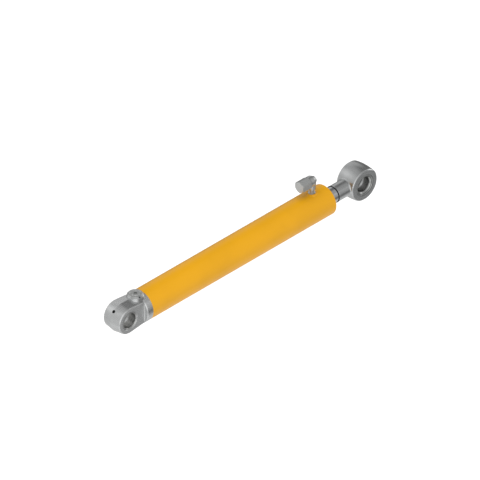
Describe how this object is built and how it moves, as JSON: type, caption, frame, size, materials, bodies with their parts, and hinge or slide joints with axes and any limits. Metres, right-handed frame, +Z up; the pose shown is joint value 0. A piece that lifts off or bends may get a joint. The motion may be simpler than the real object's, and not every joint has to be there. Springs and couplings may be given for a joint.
{
  "type": "hydraulic cylinder",
  "caption": "Double-acting hydraulic cylinder with forged base eye, chromed rod with a round rod eye, and a capped port elbow.",
  "frame": {"origin": "centre of the base pin bore", "axes": "+X along the cylinder towards the rod eye, Y along both pin bores, +Z up towards the oil ports"},
  "size_m": [0.7672, 0.07, 0.1199],
  "materials": {
    "yellow_paint": "satin machine paint",
    "forged_steel": "machined and blasted forging",
    "eye_steel": "turned",
    "machined_steel": "turned",
    "bush_steel": "ground",
    "plated_steel": "zinc plated",
    "black_steel": "black oxide",
    "rod_chrome": "hard chrome",
    "black_rubber": "matt",
    "seal_polyurethane": "matt",
    "seal_case": "pressed steel case with moulded lip",
    "seal_polymer": "filled fluoropolymer",
    "guide_polymer": "fabric filled resin",
    "copper_washer": "annealed copper"
  },
  "bodies": {
    "barrel": {"barrel_tube": "yellow_paint", "tube_weld": "yellow_paint", "base_end": "forged_steel", "base_bush_left": "bush_steel", "base_bush_right": "bush_steel", "base_port_plug": "plated_steel", "base_port_seal": "black_rubber", "plug_lock_screw": "black_steel", "rod_port_boss": "yellow_paint", "port_elbow": "plated_steel", "elbow_stem_seal": "plated_steel", "elbow_cap": "plated_steel", "elbow_cap_seal": "copper_washer", "gland_head": "yellow_paint", "gland_static_seal": "black_rubber", "gland_backup_ring": "seal_polymer", "rod_guide_ring": "guide_polymer", "rod_seal": "seal_polyurethane", "rod_wiper": "black_rubber"},
    "piston_rings": {"piston_wear_ring_rear": "guide_polymer", "piston_wear_ring_front": "guide_polymer", "piston_seal": "seal_polymer", "piston_energiser": "black_rubber"},
    "rod": {"piston": "machined_steel", "piston_stud_seal": "black_rubber", "piston_nut": "plated_steel", "piston_rod": "rod_chrome", "rod_stop_ring": "black_rubber", "rod_eye": "eye_steel", "rod_bush_left": "bush_steel", "rod_bush_right": "bush_steel", "rod_dust_seal_left": "seal_case", "rod_dust_seal_right": "seal_case"}
  },
  "joints": [
    {"name": "rod_stroke", "type": "slide", "parent": "barrel", "child": "piston_rings", "axis": [1, 0, 0], "range_m": [0, 0.41]},
    {"name": "rod_turn", "type": "hinge", "parent": "piston_rings", "child": "rod", "pos_m": [0.0945, 0, 0], "axis": [1, 0, 0], "continuous": true}
  ]
}
